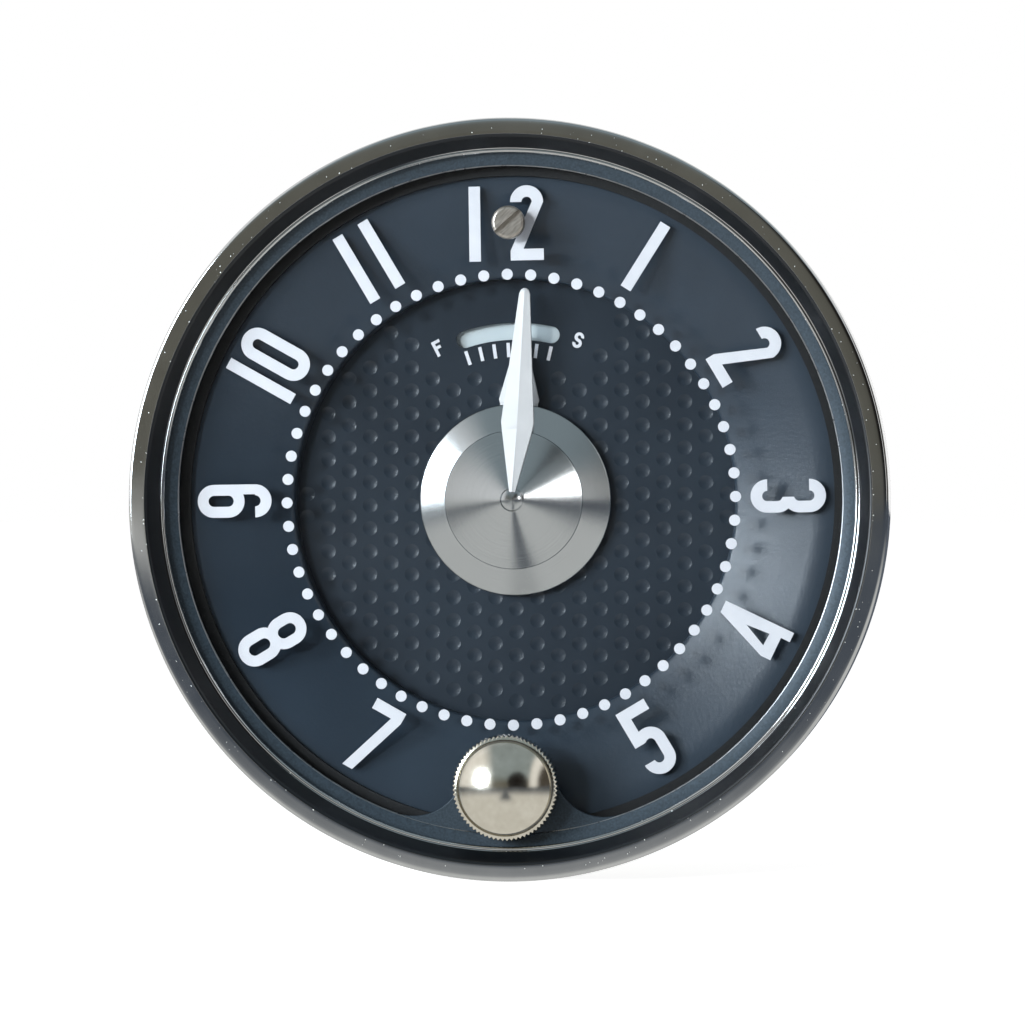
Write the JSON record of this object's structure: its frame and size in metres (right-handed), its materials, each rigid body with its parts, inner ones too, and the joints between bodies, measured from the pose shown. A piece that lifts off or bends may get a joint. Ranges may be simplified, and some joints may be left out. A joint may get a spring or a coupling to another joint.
{
  "type": "car dashboard clock",
  "caption": "Round panel-mounted car clock with a chromed bezel, white numerals behind a clear lens, two ridged hands, a setting knob and a regulator screw.",
  "frame": {"origin": "on the dial axis, in the plane where the panel gasket meets the dash panel", "axes": "+Y points backwards into the dash, -Y is the face, +Z is 12 o'clock, +X is 3 o'clock"},
  "size_m": [0.0888, 0.0656, 0.0888],
  "materials": {
    "chrome": "polished, lightly pitted",
    "black_rubber": "matt",
    "satin_ring": "satin",
    "clear_acrylic": "clear polished",
    "white_print": "screen print",
    "black_enamel": "satin, faint orange peel",
    "white_enamel": "semi-gloss",
    "nickel": "polished nickel plate",
    "plated_steel": "dull zinc plate",
    "zinc_steel": "zinc plate",
    "brass": "lacquered",
    "phenolic": "moulded",
    "steel": "turned",
    "spring_steel": "blued",
    "pale_enamel": "matt",
    "iron": "bare soft iron",
    "copper": "enamelled wire"
  },
  "bodies": {
    "clock_case": {"bezel": "chrome", "panel_gasket": "black_rubber", "lens_retainer": "satin_ring", "lens": "clear_acrylic", "lens_seat": "black_rubber", "numerals": "white_print", "minute_dots": "white_print", "chapter_ring": "black_enamel", "dial_plate": "black_enamel", "scale_print": "white_print", "dial_bush": "brass", "dial_posts": "brass", "case_barrel": "plated_steel", "rear_cover": "plated_steel", "cover_screws": "zinc_steel", "cover_posts": "brass", "mounting_studs": "zinc_steel", "stud_nuts": "zinc_steel", "terminal_blade": "brass", "terminal_block": "phenolic", "front_plate": "brass", "back_plate": "brass", "plate_pillars": "brass", "pillar_screws": "zinc_steel", "motion_studs": "steel", "stem_bush": "brass", "stem_spring": "spring_steel", "magnet_yoke": "iron", "magnet_coil": "copper", "contact_spring": "brass", "armature_spring": "spring_steel"},
    "minute_hand_group": {"minute_hand": "white_enamel", "minute_cone": "chrome", "cannon_pinion": "steel"},
    "hour_hand_group": {"hour_hand": "white_enamel", "hour_hub": "chrome", "hour_wheel": "brass"},
    "minute_wheel_group": {"minute_wheel": "brass"},
    "idler_group": {"set_idler": "brass"},
    "stem_slide": {"stem_washer": "steel"},
    "setting_knob": {"set_knob": "nickel", "set_stem": "steel", "set_pinion": "steel"},
    "regulator_arm_group": {"regulator_arm": "pale_enamel"},
    "regulator_screw_group": {"regulator_screw": "nickel"},
    "centre_group": {"centre_arbor": "steel", "centre_wheel": "brass", "ratchet_wheel": "steel"},
    "third_group": {"third_arbor": "steel", "third_wheel": "brass"},
    "fourth_group": {"fourth_arbor": "steel", "fourth_wheel": "brass"},
    "escape_group": {"escape_arbor": "steel", "escape_wheel": "brass"},
    "pallet_group": {"pallet_lever": "steel"},
    "balance_group": {"balance_wheel": "brass", "balance_staff": "steel", "hairspring": "spring_steel"},
    "armature_group": {"armature": "iron"}
  },
  "joints": [
    {"name": "minute_turn", "type": "hinge", "parent": "clock_case", "child": "minute_hand_group", "pos_m": [0, 0, 0], "axis": [0, 1, 0], "continuous": true},
    {"name": "hour_turn", "type": "hinge", "parent": "clock_case", "child": "hour_hand_group", "pos_m": [0, 0, 0], "axis": [0, 1, 0], "continuous": true},
    {"name": "minute_wheel_turn", "type": "hinge", "parent": "clock_case", "child": "minute_wheel_group", "pos_m": [0, 0, -0.012], "axis": [0, 1, 0], "continuous": true},
    {"name": "idler_turn", "type": "hinge", "parent": "clock_case", "child": "idler_group", "pos_m": [0, 0, -0.026], "axis": [0, 1, 0], "continuous": true},
    {"name": "stem_pull", "type": "slide", "parent": "clock_case", "child": "stem_slide", "axis": [0, -1, 0], "range_m": [0, 0.0024], "stiffness_N_per_m": 150, "deforming": ["stem_spring"]},
    {"name": "knob_turn", "type": "hinge", "parent": "stem_slide", "child": "setting_knob", "pos_m": [0, 0, -0.0335], "axis": [0, 1, 0], "continuous": true},
    {"name": "regulator_swing", "type": "hinge", "parent": "clock_case", "child": "regulator_arm_group", "pos_m": [0, 0, 0], "axis": [0, 1, 0], "range_deg": [-8, 8]},
    {"name": "regulator_screw_turn", "type": "hinge", "parent": "clock_case", "child": "regulator_screw_group", "pos_m": [0, 0, 0.0324], "axis": [0, 1, 0], "range_deg": [-100.5, 100.5]},
    {"name": "centre_spin", "type": "hinge", "parent": "clock_case", "child": "centre_group", "pos_m": [0, 0, 0], "axis": [0, 1, 0], "continuous": true},
    {"name": "third_spin", "type": "hinge", "parent": "clock_case", "child": "third_group", "pos_m": [-0.01091, 0, 0.0063], "axis": [0, 1, 0], "continuous": true},
    {"name": "fourth_spin", "type": "hinge", "parent": "clock_case", "child": "fourth_group", "pos_m": [-0.00547, 0, 0.01572], "axis": [0, 1, 0], "continuous": true},
    {"name": "escape_spin", "type": "hinge", "parent": "clock_case", "child": "escape_group", "pos_m": [0.00553, 0, 0.01572], "axis": [0, 1, 0], "continuous": true},
    {"name": "pallet_rock", "type": "hinge", "parent": "clock_case", "child": "pallet_group", "pos_m": [0.01193, 0, 0.01472], "axis": [0, 1, 0], "range_deg": [-4, 4]},
    {"name": "balance_swing", "type": "hinge", "parent": "clock_case", "child": "balance_group", "pos_m": [0.019, 0, 0.01], "axis": [0, 1, 0], "range_deg": [-135, 135], "stiffness_Nm_per_rad": 0.000008, "deforming": ["hairspring"]},
    {"name": "armature_kick", "type": "hinge", "parent": "clock_case", "child": "armature_group", "pos_m": [0.0015, 0, -0.0165], "axis": [0, 1, 0], "range_deg": [0, 7], "stiffness_Nm_per_rad": 0.002, "deforming": ["armature_spring"]}
  ],
  "couplings": [
    {"joint": "hour_turn", "follows": "minute_turn", "ratio": 0.083333},
    {"joint": "minute_wheel_turn", "follows": "minute_turn", "ratio": -0.33333},
    {"joint": "idler_turn", "follows": "minute_turn", "ratio": 0.6},
    {"joint": "knob_turn", "follows": "minute_turn", "ratio": -1.2},
    {"joint": "regulator_screw_turn", "follows": "regulator_swing", "ratio": -12.5},
    {"joint": "escape_spin", "follows": "fourth_spin", "ratio": -10},
    {"joint": "third_spin", "follows": "fourth_spin", "ratio": -0.13333},
    {"joint": "centre_spin", "follows": "fourth_spin", "ratio": 0.016667}
  ]
}
